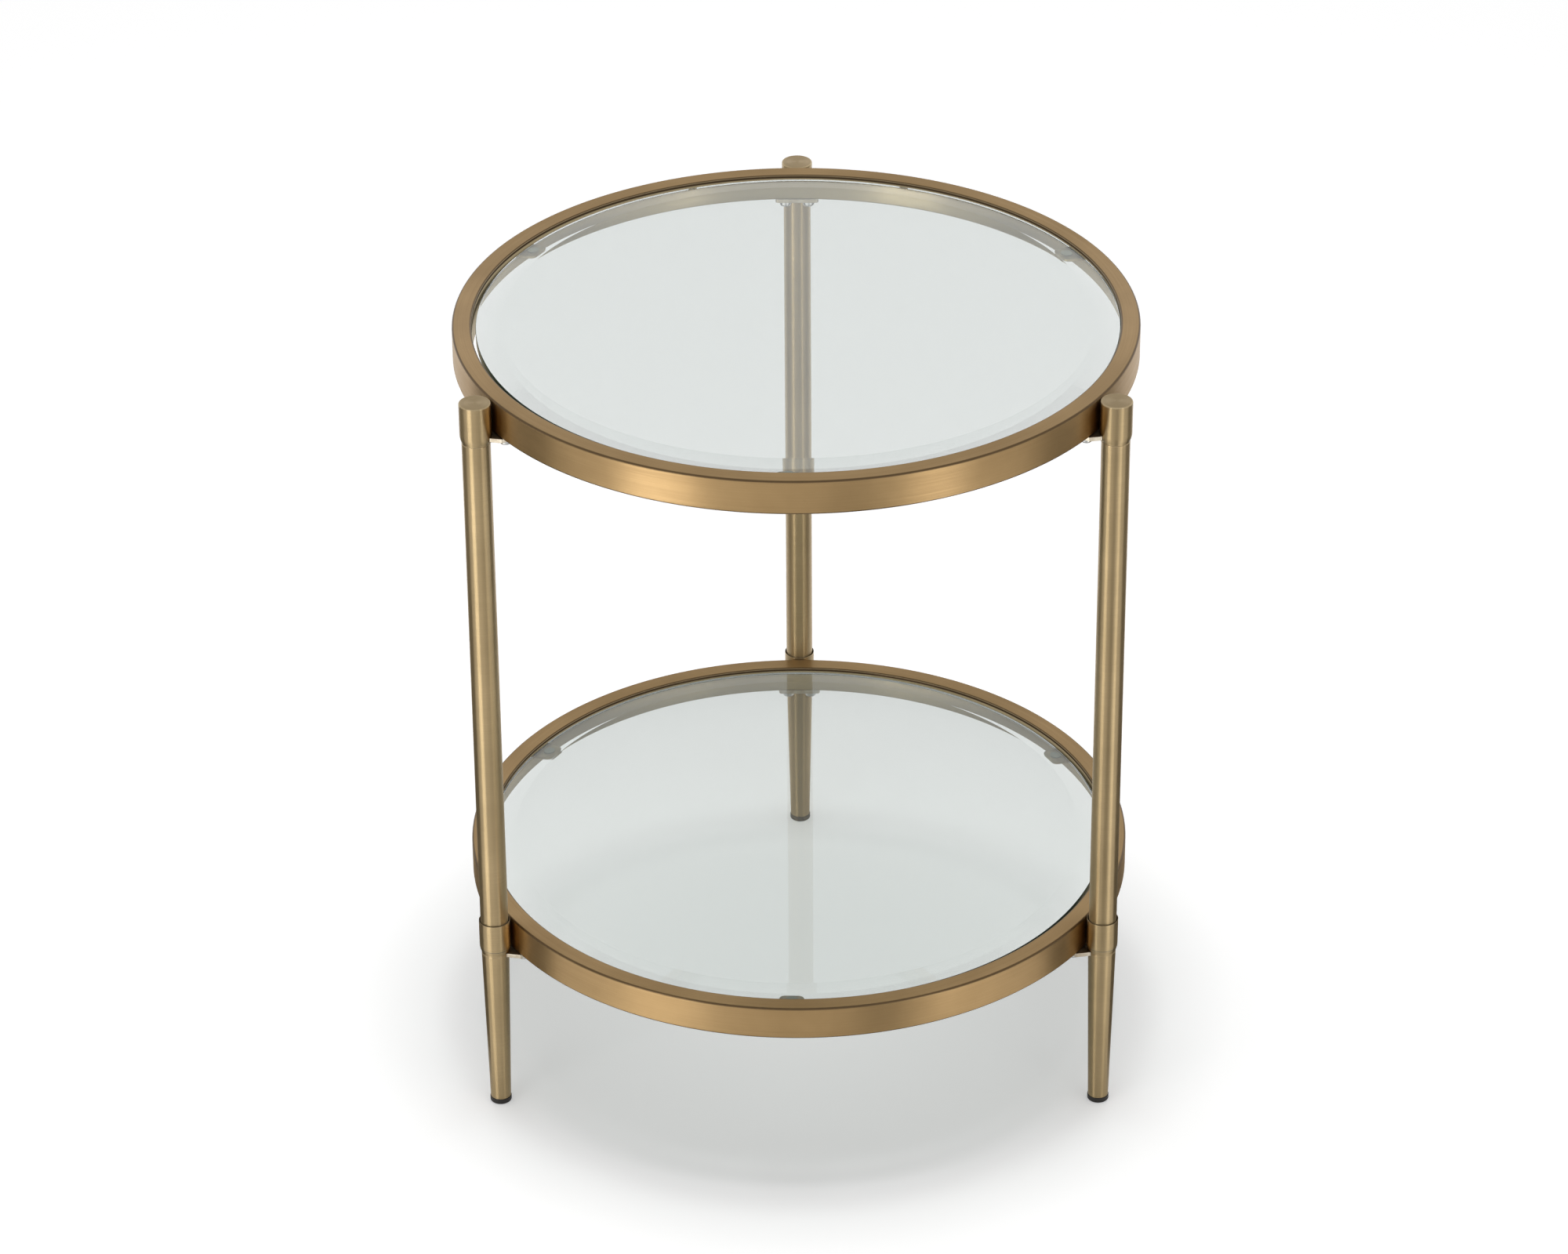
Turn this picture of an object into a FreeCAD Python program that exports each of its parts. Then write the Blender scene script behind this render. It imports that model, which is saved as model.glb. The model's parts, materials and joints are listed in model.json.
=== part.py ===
import FreeCAD, Part
import math
import os

from FreeCAD import Vector

# Two-tier round side table: two tube hoops with drop-in glass, carried by three turned posts.
# Lengths are millimetres, angles are degrees, +Z is up and the floor is at zero height.

# Hoops of rectangular tube
ring_outer_radius = 228.5
ring_tube_width = 13.0
ring_tube_height = 24.0
ring_tube_wall = 1.2
ring_corner_radius = 1.5
lower_ring_top = 148.5
tier_spacing = 400.0

# Posts: places round the hoops, the main tube and the sleeves that stand beside each hoop
post_sides = ("back", "left", "right")
first_post_angle = 90.0
post_tube_diameter = 19.0
post_tube_wall = 1.2
socket_gap = 0.65
sleeve_wall = 0.45
sleeve_ring_gap = 0.3
taper_steps = 4
seam_chamfer = 0.25

# Turned cap at the top of each post
cap_below_ring_top = 0.7
cap_edge_chamfer = 1.0
cap_taper_above_ring_bottom = 1.3
cap_taper_length = 6.0
cap_neck_length = 0.8
cap_spigot_length = 18.0
spigot_clearance = 0.1

# Turned sleeve at the lower hoop, with an open socket for the main tube
mid_above_ring_top = 0.7
mid_socket_depth = 12.0
mid_taper_above_ring_bottom = 6.5
mid_taper_length = 6.3
mid_neck_length = 1.1
mid_rim_chamfer = 0.2

# Threaded joint inside the lower sleeve
stud_diameter = 8.0
stud_engagement = 12.0
stud_end_chamfer = 0.8
thread_clearance = 0.05
stud_hole_clearance = 0.3
plug_length = 15.0
plug_clearance = 0.1

# Tapered leg and its foot
leg_tip_diameter = 14.0
leg_wall = 1.2
foot_height = 4.0
foot_overhang = 0.4
foot_edge_radius = 1.2
foot_stem_length = 14.0
foot_stem_clearance = 0.15
foot_stem_chamfer = 1.0

# Bracket plate welded to each post and screwed up into the hoop
plate_thickness = 3.0
plate_width = 30.0
plate_neck_width = 18.0
plate_inner_inset = 0.6
plate_shoulder_inset = 0.5
plate_neck_length = 4.5
plate_weld_gap = 0.1
plate_corner_radius = 2.0

# Cap-head screws and the blind threaded inserts in the hoop
screw_pitch = 16.2
screw_diameter = 5.0
screw_head_diameter = 8.6
screw_head_height = 4.4
screw_head_round = 2.0
screw_shank_length = 14.0
screw_socket_width = 3.0
screw_socket_depth = 2.2
screw_hole_clearance = 0.3
insert_wall = 1.0
insert_length = 11.0
insert_bulge_length = 2.5
insert_hole_clearance = 0.05
insert_side_gap = 0.8

# Glass panes with a wide bevel round the top, which lie a little to one side of their hoops
glass_edge_gap = 1.5
glass_side_shift = 1.2
glass_recess = 0.4
glass_thickness = 8.0
bevel_width = 17.0
bevel_drop = 2.0
glass_arris = 0.5

# Tabs and clear pads under the glass
tab_sides = ("front", "right", "left")
first_tab_angle = 268.8
tab_width = 20.0
tab_end_width = 16.0
tab_reach = 13.0
tab_thickness = 2.5
tab_corner_radius = 4.0
tab_weld_gap = 0.1
pad_diameter = 8.0
pad_thickness = 1.0

# Fillet welds under the bracket plates and the tabs
weld_leg = 2.0
bracket_weld_angle = 120.0
tab_weld_share = 0.8

# How far cutting solids run past the faces that they cut
overrun = 1.0

# Sizes that follow from the ones above
ring_inner_radius = ring_outer_radius - ring_tube_width
ring_middle_radius = ring_outer_radius - ring_tube_width / 2
upper_ring_top = lower_ring_top + tier_spacing
upper_ring_bottom = upper_ring_top - ring_tube_height
lower_ring_bottom = lower_ring_top - ring_tube_height

tube_radius = post_tube_diameter / 2
tube_bore_radius = tube_radius - post_tube_wall
socket_radius = tube_radius + socket_gap
sleeve_radius = socket_radius + sleeve_wall
post_radius = ring_outer_radius + sleeve_ring_gap + sleeve_radius

cap_top = upper_ring_top - cap_below_ring_top
cap_taper_top = upper_ring_bottom + cap_taper_above_ring_bottom
cap_neck_top = cap_taper_top - cap_taper_length
cap_seam = cap_neck_top - cap_neck_length

mid_mouth = lower_ring_top + mid_above_ring_top
mid_socket_floor = mid_mouth - mid_socket_depth
mid_taper_top = lower_ring_bottom + mid_taper_above_ring_bottom
mid_neck_top = mid_taper_top - mid_taper_length
mid_seam = mid_neck_top - mid_neck_length

stud_radius = stud_diameter / 2
stud_bore_radius = stud_radius + thread_clearance
leg_tip_radius = leg_tip_diameter / 2
leg_slope = (tube_radius - leg_tip_radius) / (mid_seam - foot_height)

screw_radius = screw_diameter / 2
insert_radius = screw_radius + thread_clearance + insert_wall
insert_bulge_radius = ring_tube_width / 2 - ring_tube_wall - insert_side_gap

glass_radius = ring_inner_radius - glass_edge_gap
glass_fall = glass_recess + glass_thickness
tab_fall = glass_fall + pad_thickness

# The bounding box is centred on the origin, so the hoops' axis stands a little forward of it
ring_axis_y = (ring_outer_radius - post_radius - sleeve_radius) / 2
up = Vector(0, 0, 1)
full_turn = 360.0


def spread_evenly(sides, first_angle):
    """Angle of each named side, spaced evenly round the hoops from the first one."""
    step = full_turn / len(sides)
    return {side: first_angle + step * place for place, side in enumerate(sides)}


post_angles = spread_evenly(post_sides, first_post_angle)
tab_angles = spread_evenly(tab_sides, first_tab_angle)


def turned(outline, sweep=full_turn):
    """Revolve a closed outline of (radius, height) points about the vertical axis."""
    corners = [Vector(radius, 0, height) for radius, height in outline]
    wire = Part.makePolygon(corners + corners[:1])
    return Part.Face(wire).revolve(Vector(), up, sweep)


def flat_plate(outline, thickness, top):
    """Extrude a closed outline of (x, y) points downwards from the height of its top face."""
    corners = [Vector(x, y, top - thickness) for x, y in outline]
    wire = Part.makePolygon(corners + corners[:1])
    return Part.Face(wire).extrude(up * thickness)


def drill(radius, length, x, y, bottom):
    """Upright cylinder that stands on the given point."""
    return Part.makeCylinder(radius, length, Vector(x, y, bottom), up)


def upright_edges(shape, x_low, x_high):
    """Vertical straight edges of a plate whose middles lie between two x values."""
    chosen = []
    for edge in shape.Edges:
        middle = edge.CenterOfMass
        upright = abs(edge.Vertexes[0].Z - edge.Vertexes[-1].Z) > edge.Length / 2
        if upright and x_low < middle.x < x_high:
            chosen.append(edge)
    return chosen


def placed(shape, angle):
    """Copy of a piece modelled along +X, turned to its place round the hoops' axis."""
    copy = shape.copy()
    copy.rotate(Vector(), up, angle)
    copy.translate(Vector(0, ring_axis_y, 0))
    return copy


def save(shape, node):
    """Write one node's solids to its own file."""
    shape.exportStep("parts/" + node + ".step")


def screw_places():
    """Both screw positions of a bracket that is modelled along +X."""
    return [(ring_middle_radius, side * screw_pitch / 2) for side in (-1, 1)]


def hoop(top):
    """Rolled rectangular tube with rounded corners and holes below for the threaded inserts."""
    bottom = top - ring_tube_height
    outside = turned([
        (ring_inner_radius, bottom),
        (ring_outer_radius, bottom),
        (ring_outer_radius, top),
        (ring_inner_radius, top),
    ])
    round_edges = [edge for edge in outside.Edges if isinstance(edge.Curve, Part.Circle)]
    outside = outside.makeFillet(ring_corner_radius, round_edges)
    inside = turned([
        (ring_inner_radius + ring_tube_wall, bottom + ring_tube_wall),
        (ring_outer_radius - ring_tube_wall, bottom + ring_tube_wall),
        (ring_outer_radius - ring_tube_wall, top - ring_tube_wall),
        (ring_inner_radius + ring_tube_wall, top - ring_tube_wall),
    ])
    tube = outside.cut(inside)
    holes = []
    for angle in post_angles.values():
        for x, y in screw_places():
            hole = drill(insert_radius + insert_hole_clearance, ring_tube_wall + overrun * 2,
                         x, y, bottom - overrun)
            hole.rotate(Vector(), up, angle)
            holes.append(hole)
    return tube.cut(holes)


def threaded_insert(x, y, bottom):
    """Blind rivet nut set flush in the hoop's lower wall, with its bulge clamped inside the tube."""
    wall_top = bottom + ring_tube_wall
    insert = turned([
        (screw_radius + thread_clearance, bottom),
        (insert_radius, bottom),
        (insert_radius, wall_top),
        (insert_bulge_radius, wall_top),
        (insert_bulge_radius, wall_top + insert_bulge_length / 2),
        (insert_radius, wall_top + insert_bulge_length),
        (insert_radius, bottom + insert_length),
        (screw_radius + thread_clearance, bottom + insert_length),
    ])
    insert.translate(Vector(x, y, 0))
    return insert


def bracket_screw(x, y, bottom):
    """Cap-head screw whose head hangs under the bracket plate."""
    head_top = bottom - plate_thickness
    head = drill(screw_head_diameter / 2, screw_head_height, x, y, head_top - screw_head_height)
    rim = [edge for edge in head.Edges
           if isinstance(edge.Curve, Part.Circle)
           and edge.CenterOfMass.z < head_top - screw_head_height / 2]
    head = head.makeFillet(screw_head_round, rim)
    shank = drill(screw_radius, screw_shank_length, x, y, head_top)
    corner_reach = screw_socket_width / math.sqrt(3)
    corners = []
    for step in range(6):
        turn = math.radians(step * 60)
        corners.append((x + corner_reach * math.cos(turn), y + corner_reach * math.sin(turn)))
    socket = flat_plate(corners, screw_socket_depth + overrun,
                        head_top - screw_head_height + screw_socket_depth)
    return head.fuse(shank).cut(socket).removeSplitter()


def taper_radius(height, taper_top, neck_top):
    """Radius of a sleeve's lower end, which curves in from the sleeve's width to the tube's."""
    length = taper_top - neck_top
    fall = min(max(taper_top - height, 0), length)
    return sleeve_radius - (sleeve_radius - tube_radius) * (fall / length) ** 2


def cap_radius(height):
    """Radius of the cap near its lower end."""
    return taper_radius(height, cap_taper_top, cap_neck_top)


def sleeve_end_radius(height):
    """Radius of the lower sleeve near its lower end."""
    return taper_radius(height, mid_taper_top, mid_neck_top)


def tapered_end(radius_at, neck_top, length):
    """Outline points up the curved lower end of a sleeve."""
    heights = [neck_top + length * step / taper_steps for step in range(taper_steps + 1)]
    return [(radius_at(height), height) for height in heights]


def bracket(bottom, radius_at):
    """Flat plate under the hoop, narrowed at the post and coped round it for the weld."""
    inner_x = ring_inner_radius + plate_inner_inset
    shoulder_x = ring_outer_radius - plate_shoulder_inset
    neck_x = post_radius - plate_neck_length
    half_width = plate_width / 2
    half_neck = plate_neck_width / 2
    plate = flat_plate([
        (inner_x, -half_width),
        (shoulder_x, -half_width),
        (neck_x, -half_neck),
        (post_radius, -half_neck),
        (post_radius, half_neck),
        (neck_x, half_neck),
        (shoulder_x, half_width),
        (inner_x, half_width),
    ], plate_thickness, bottom)
    plate = plate.makeFillet(plate_corner_radius, upright_edges(plate, inner_x - overrun, inner_x + overrun))
    cuts = [drill(radius_at(bottom) + plate_weld_gap, plate_thickness + overrun * 2,
                  post_radius, 0, bottom - plate_thickness - overrun)]
    for x, y in screw_places():
        cuts.append(drill(screw_radius + screw_hole_clearance, plate_thickness + overrun * 2,
                          x, y, bottom - plate_thickness - overrun))
    return plate.cut(cuts)


def weld_bead(corner_radius, toe_radius, root_radius, top, sweep, middle_angle):
    """Fillet weld under a plate: a triangle carried along an arc about the vertical axis."""
    bead = turned([
        (corner_radius, top),
        (toe_radius, top),
        (root_radius, top - weld_leg),
    ], sweep)
    bead.rotate(Vector(), up, middle_angle - sweep / 2)
    return bead


def at_post(shape):
    """Move a piece turned about the vertical axis out to the post modelled along +X."""
    shape.translate(Vector(post_radius, 0, 0))
    return shape


def bracket_weld(bottom, radius_at):
    """Weld on the inner side of the post, under the narrow end of the bracket plate."""
    top = bottom - plate_thickness
    corner_radius = radius_at(top) + plate_weld_gap
    root_radius = radius_at(top - weld_leg) + plate_weld_gap
    return at_post(weld_bead(corner_radius, corner_radius + weld_leg, root_radius, top,
                             bracket_weld_angle, full_turn / 2))


def post_cap():
    """Solid turned cap: flat top, tapered lower end, short neck and a spigot inside the tube."""
    spigot_radius = tube_bore_radius - spigot_clearance
    return at_post(turned([
        (0, cap_seam - cap_spigot_length),
        (spigot_radius, cap_seam - cap_spigot_length),
        (spigot_radius, cap_seam),
        (tube_radius - seam_chamfer, cap_seam),
        (tube_radius, cap_seam + seam_chamfer),
        *tapered_end(cap_radius, cap_neck_top, cap_taper_length),
        (sleeve_radius, cap_top - cap_edge_chamfer),
        (sleeve_radius - cap_edge_chamfer, cap_top),
        (0, cap_top),
    ]))


def post_tube():
    """Main tube, from the cap's seam down to the floor of the lower sleeve's socket."""
    return at_post(turned([
        (tube_bore_radius, mid_socket_floor),
        (tube_radius, mid_socket_floor),
        (tube_radius, cap_seam - seam_chamfer),
        (tube_radius - seam_chamfer, cap_seam),
        (tube_bore_radius, cap_seam),
    ]))


def mid_sleeve():
    """Turned sleeve with an open socket above, a tapered lower end and a hole for the stud."""
    hole_radius = stud_radius + stud_hole_clearance
    return at_post(turned([
        (hole_radius, mid_seam),
        (tube_radius - seam_chamfer, mid_seam),
        (tube_radius, mid_seam + seam_chamfer),
        *tapered_end(sleeve_end_radius, mid_neck_top, mid_taper_length),
        (sleeve_radius, mid_mouth - mid_rim_chamfer),
        (sleeve_radius - mid_rim_chamfer, mid_mouth),
        (socket_radius, mid_mouth),
        (socket_radius, mid_socket_floor),
        (hole_radius, mid_socket_floor),
    ]))


def tube_insert():
    """Threaded plug fixed in the lower end of the main tube."""
    plug_radius = tube_bore_radius - plug_clearance
    return at_post(turned([
        (stud_bore_radius, mid_socket_floor),
        (plug_radius, mid_socket_floor),
        (plug_radius, mid_socket_floor + plug_length),
        (stud_bore_radius, mid_socket_floor + plug_length),
    ]))


def joint_stud():
    """Threaded stud that clamps tube, sleeve and leg together."""
    low = mid_seam - stud_engagement
    high = mid_socket_floor + stud_engagement
    end_radius = stud_radius - stud_end_chamfer
    return at_post(turned([
        (0, low),
        (end_radius, low),
        (stud_radius, low + stud_end_chamfer),
        (stud_radius, high - stud_end_chamfer),
        (end_radius, high),
        (0, high),
    ]))


def leg_radius(height):
    """Outside radius of the tapered leg at a height above the floor."""
    return leg_tip_radius + leg_slope * (height - foot_height)


def leg_plug():
    """Threaded plug fixed in the upper end of the tapered leg, tapered like its bore."""
    low = mid_seam - plug_length
    gap = leg_wall + plug_clearance
    return at_post(turned([
        (stud_bore_radius, low),
        (leg_radius(low) - gap, low),
        (leg_radius(mid_seam) - gap, mid_seam),
        (stud_bore_radius, mid_seam),
    ]))


def tapered_leg():
    """Hollow leg that narrows evenly from the sleeve's neck to the foot."""
    return at_post(turned([
        (leg_tip_radius - leg_wall, foot_height),
        (leg_tip_radius, foot_height),
        (leg_radius(mid_seam - seam_chamfer), mid_seam - seam_chamfer),
        (tube_radius - seam_chamfer, mid_seam),
        (tube_radius - leg_wall, mid_seam),
    ]))


def foot_glide():
    """Moulded foot: rounded tread just wider than the leg, and a stem pushed into its end."""
    tread_radius = leg_tip_radius + foot_overhang
    stem_radius = leg_tip_radius - leg_wall - foot_stem_clearance
    stem_top = foot_height + foot_stem_length
    foot = turned([
        (0, 0),
        (tread_radius, 0),
        (tread_radius, foot_height),
        (stem_radius, foot_height),
        (stem_radius, stem_top - foot_stem_chamfer),
        (stem_radius - foot_stem_chamfer, stem_top),
        (0, stem_top),
    ])
    floor_edge = [edge for edge in foot.Edges
                  if isinstance(edge.Curve, Part.Circle) and edge.CenterOfMass.z < foot_edge_radius / 2]
    return at_post(foot.makeFillet(foot_edge_radius, floor_edge))


def glass_pane(top):
    """Round pane with a wide bevel above and a fine arris below."""
    face = top - glass_recess
    floor = top - glass_fall
    return turned([
        (0, floor),
        (glass_radius - glass_arris, floor),
        (glass_radius, floor + glass_arris),
        (glass_radius, face - bevel_drop),
        (glass_radius - bevel_width, face),
        (0, face),
    ])


def glass_tab(top):
    """Lug on the hoop's inner wall that carries the glass, narrower and rounded at its free end."""
    face = top - tab_fall
    root_x = ring_inner_radius + overrun
    end_x = ring_inner_radius - tab_reach
    lug = flat_plate([
        (end_x, -tab_end_width / 2),
        (root_x, -tab_width / 2),
        (root_x, tab_width / 2),
        (end_x, tab_end_width / 2),
    ], tab_thickness, face)
    lug = lug.makeFillet(tab_corner_radius, upright_edges(lug, end_x - overrun, end_x + overrun))
    inside_of_hoop = drill(ring_inner_radius - tab_weld_gap, tab_thickness, 0, 0, face - tab_thickness)
    return lug.common(inside_of_hoop)


def tab_weld(top):
    """Weld on the hoop's inner wall, under the root of a lug."""
    corner_radius = ring_inner_radius - tab_weld_gap
    sweep = math.degrees(tab_width * tab_weld_share / ring_inner_radius)
    return weld_bead(corner_radius, corner_radius - weld_leg, corner_radius, top - tab_fall - tab_thickness,
                     sweep, 0)


def glass_pad(top):
    """Clear disc on the middle of a tab."""
    return drill(pad_diameter / 2, pad_thickness, ring_inner_radius - tab_reach / 2, 0, top - tab_fall)


def save_tier(tier, top, side_shift, radius_at):
    """Write the hoop, glass, tabs, pads, brackets, fasteners and welds of one tier."""
    bottom = top - ring_tube_height
    save(placed(hoop(top), 0), tier + "_ring")
    pane = placed(glass_pane(top), 0)
    pane.translate(Vector(side_shift, 0, 0))
    save(pane, tier + "_glass")
    pads = []
    tab_welds = []
    for side, angle in tab_angles.items():
        save(placed(glass_tab(top), angle), tier + "_glass_tab_" + side)
        pads.append(placed(glass_pad(top), angle))
        tab_welds.append(placed(tab_weld(top), angle))
    save(Part.makeCompound(pads), tier + "_glass_pads")
    save(Part.makeCompound(tab_welds), tier + "_tab_welds")
    screws = []
    inserts = []
    bracket_welds = []
    for side, angle in post_angles.items():
        save(placed(bracket(bottom, radius_at), angle), tier + "_bracket_" + side)
        bracket_welds.append(placed(bracket_weld(bottom, radius_at), angle))
        for x, y in screw_places():
            screws.append(placed(bracket_screw(x, y, bottom), angle))
            inserts.append(placed(threaded_insert(x, y, bottom), angle))
    save(Part.makeCompound(screws), tier + "_bracket_screws")
    save(Part.makeCompound(inserts), tier + "_ring_inserts")
    save(Part.makeCompound(bracket_welds), tier + "_bracket_welds")


def save_post(side, angle):
    """Write the pieces of one post, from the cap down to the foot."""
    pieces = {
        "post_cap": post_cap(),
        "post_tube": post_tube(),
        "mid_sleeve": mid_sleeve(),
        "tube_insert": tube_insert(),
        "joint_stud": joint_stud(),
        "leg_plug": leg_plug(),
        "tapered_leg": tapered_leg(),
        "foot_glide": foot_glide(),
    }
    for name, piece in pieces.items():
        save(placed(piece, angle), name + "_" + side)


os.makedirs("parts", exist_ok=True)
save_tier("upper", upper_ring_top, glass_side_shift, cap_radius)
save_tier("lower", lower_ring_top, -glass_side_shift, sleeve_end_radius)
for post_side, post_angle in post_angles.items():
    save_post(post_side, post_angle)
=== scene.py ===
# %% [markdown]
# # A two-tier round glass side table
# Two hoops of brass-plated tube hold bevelled glass panes, and three turned posts carry both hoops.
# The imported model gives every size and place, so each surface below is worked out around its boxes.
# Nearly all pieces of this table are turned or rolled, which makes one revolving function the main tool.

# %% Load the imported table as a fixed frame
import json
import math

import bpy
import numpy as np
from mathutils import Matrix, Vector


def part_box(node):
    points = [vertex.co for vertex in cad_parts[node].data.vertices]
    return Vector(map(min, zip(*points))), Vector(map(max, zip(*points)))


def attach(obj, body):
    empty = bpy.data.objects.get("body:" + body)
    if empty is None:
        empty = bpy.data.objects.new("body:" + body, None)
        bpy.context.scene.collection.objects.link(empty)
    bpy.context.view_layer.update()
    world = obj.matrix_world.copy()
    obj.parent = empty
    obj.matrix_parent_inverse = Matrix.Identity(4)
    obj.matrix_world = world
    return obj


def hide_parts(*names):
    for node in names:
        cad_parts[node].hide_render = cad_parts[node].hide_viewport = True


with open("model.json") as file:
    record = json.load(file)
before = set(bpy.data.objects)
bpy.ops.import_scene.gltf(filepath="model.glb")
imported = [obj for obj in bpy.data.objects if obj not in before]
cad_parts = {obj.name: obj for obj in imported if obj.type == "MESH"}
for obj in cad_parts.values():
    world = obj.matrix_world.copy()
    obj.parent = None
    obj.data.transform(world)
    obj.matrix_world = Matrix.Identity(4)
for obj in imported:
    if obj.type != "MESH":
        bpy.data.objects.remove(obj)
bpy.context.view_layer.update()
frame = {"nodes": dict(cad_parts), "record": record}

# %% [markdown]
# ## Sizes that everything shares
# The hoops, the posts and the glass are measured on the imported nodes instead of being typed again.
# A box gives outer sizes only, so the width of the hoop's tube is kept as a value of its own.

# %% Measure the hoops and the posts
mm = 0.001
tiers = ("upper", "lower")
post_sides = ("back", "left", "right")
hoop_width = 13.0 * mm


def box_middle(node):
    """Middle of a node's box, seen from above."""
    low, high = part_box(node)
    return np.array([(low.x + high.x) / 2, (low.y + high.y) / 2])


def box_radius(node):
    """Half the width of a node's box, which is the radius of an upright turned piece."""
    low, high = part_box(node)
    return (high.x - low.x) / 2


def box_heights(node):
    """Lowest and highest level of a node."""
    low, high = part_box(node)
    return low.z, high.z


hoop_axis = box_middle("upper_ring")
hoop_radius = box_radius("upper_ring")
hoop_bore = hoop_radius - hoop_width
post_places = {side: box_middle("post_tube_" + side) for side in post_sides}
post_radius = box_radius("post_tube_back")
print("Hoop radius %.4f, post radius %.4f" % (hoop_radius, post_radius))

# %% [markdown]
# ## Outlines with rounded corners
# A real edge is never perfectly sharp, and the thin light that runs along it is what makes metal look solid.
# A bevel modifier could round the edges later, but an outline that already has arcs gives clean, even rows.
# Each arc is a weighted curve through its corner, which is an exact piece of a circle.

# %% Round the corners of an outline
arc_steps = 6
support_share = 0.3
widest_edge = 3.0 * mm


def rounded(corners, radii, closed):
    """Replace each corner by an arc that touches both of its sides.

    With the corner P, the touching points A and C, and w the cosine of half the turn, the arc is
    ((1-t)^2 A + 2 w t (1-t) P + t^2 C) over the sum of its weights. One more point on either side
    keeps the flats flat, and a corner of no radius stays one point. Returns the outline and a mask
    that is 1 in the middle of each narrow arc."""
    points = np.array(corners, float)
    radii = np.broadcast_to(np.array(radii, float), len(points))[:, None]
    if closed:
        before, after = np.roll(points, 1, axis=0), np.roll(points, -1, axis=0)
        ends = None
    else:
        ends = points[:1], points[-1:]
        before, points, after = points[:-2], points[1:-1], points[2:]
        radii = radii[1:-1]
    inward = (points - before) / np.linalg.norm(points - before, axis=1, keepdims=True)
    onward = (after - points) / np.linalg.norm(after - points, axis=1, keepdims=True)
    half_turn = np.arccos(np.clip((inward * onward).sum(1, keepdims=True), -1, 1)) / 2
    reach = radii * np.tan(half_turn)
    weight = np.cos(half_turn)[:, None]
    t = np.linspace(0, 1, arc_steps + 1)[None, :, None]
    first, last = (points - reach * inward)[:, None], (points + reach * onward)[:, None]
    blend = (1 - t) ** 2 + 2 * weight * t * (1 - t) + t ** 2
    arcs = ((1 - t) ** 2 * first + 2 * weight * t * (1 - t) * points[:, None] + t ** 2 * last) / blend
    margin = support_share * reach[:, None]
    rows = np.concatenate([first - margin * inward[:, None], arcs, last + margin * onward[:, None]], axis=1)
    bulge = np.concatenate([[0], 4 * t.ravel() * (1 - t.ravel()), [0]])
    outline, mask = rows.reshape(-1, 2), ((radii < widest_edge) * bulge).ravel()
    if ends:
        outline = np.concatenate([ends[0], outline, ends[1]])
        mask = np.concatenate([[0], mask, [0]])
    fresh = np.linalg.norm(outline - np.roll(outline, 1, axis=0), axis=1) > 0
    return outline[fresh], mask[fresh]


print("Each corner becomes", arc_steps + 3, "points")

# %% [markdown]
# ## From a grid of points to a mesh
# A surface with two parameters is a grid, and a grid needs only its neighbours to become faces.
# The rows run round the piece and the columns run along its outline. Rows that meet at a pole share one
# point. The map of each piece keeps the angle and the distance along the outline, because brushing
# follows both.

# %% Build meshes from grids
def grid_faces(rows, columns, closed_columns):
    """Row and column numbers of the four corners of every cell, where the rows close on themselves."""
    row = np.arange(rows)[:, None]
    column = np.arange(columns if closed_columns else columns - 1)[None, :]
    row, column = np.broadcast_arrays(row, column)
    cell_rows = np.stack([row, row + 1, row + 1, row], axis=-1).reshape(-1, 4)
    cell_columns = np.stack([column, column, column + 1, column + 1], axis=-1).reshape(-1, 4)
    return cell_rows, cell_columns


def inside_out(points, cells):
    """True where the volume inside a closed grid comes out negative, so that its faces look inwards."""
    corners = points[cells]
    halves = np.concatenate([corners[:, [0, 1, 2]], corners[:, [0, 2, 3]]])
    return np.einsum("ij,ij->", halves[:, 0], np.cross(halves[:, 1], halves[:, 2])) < 0


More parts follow.
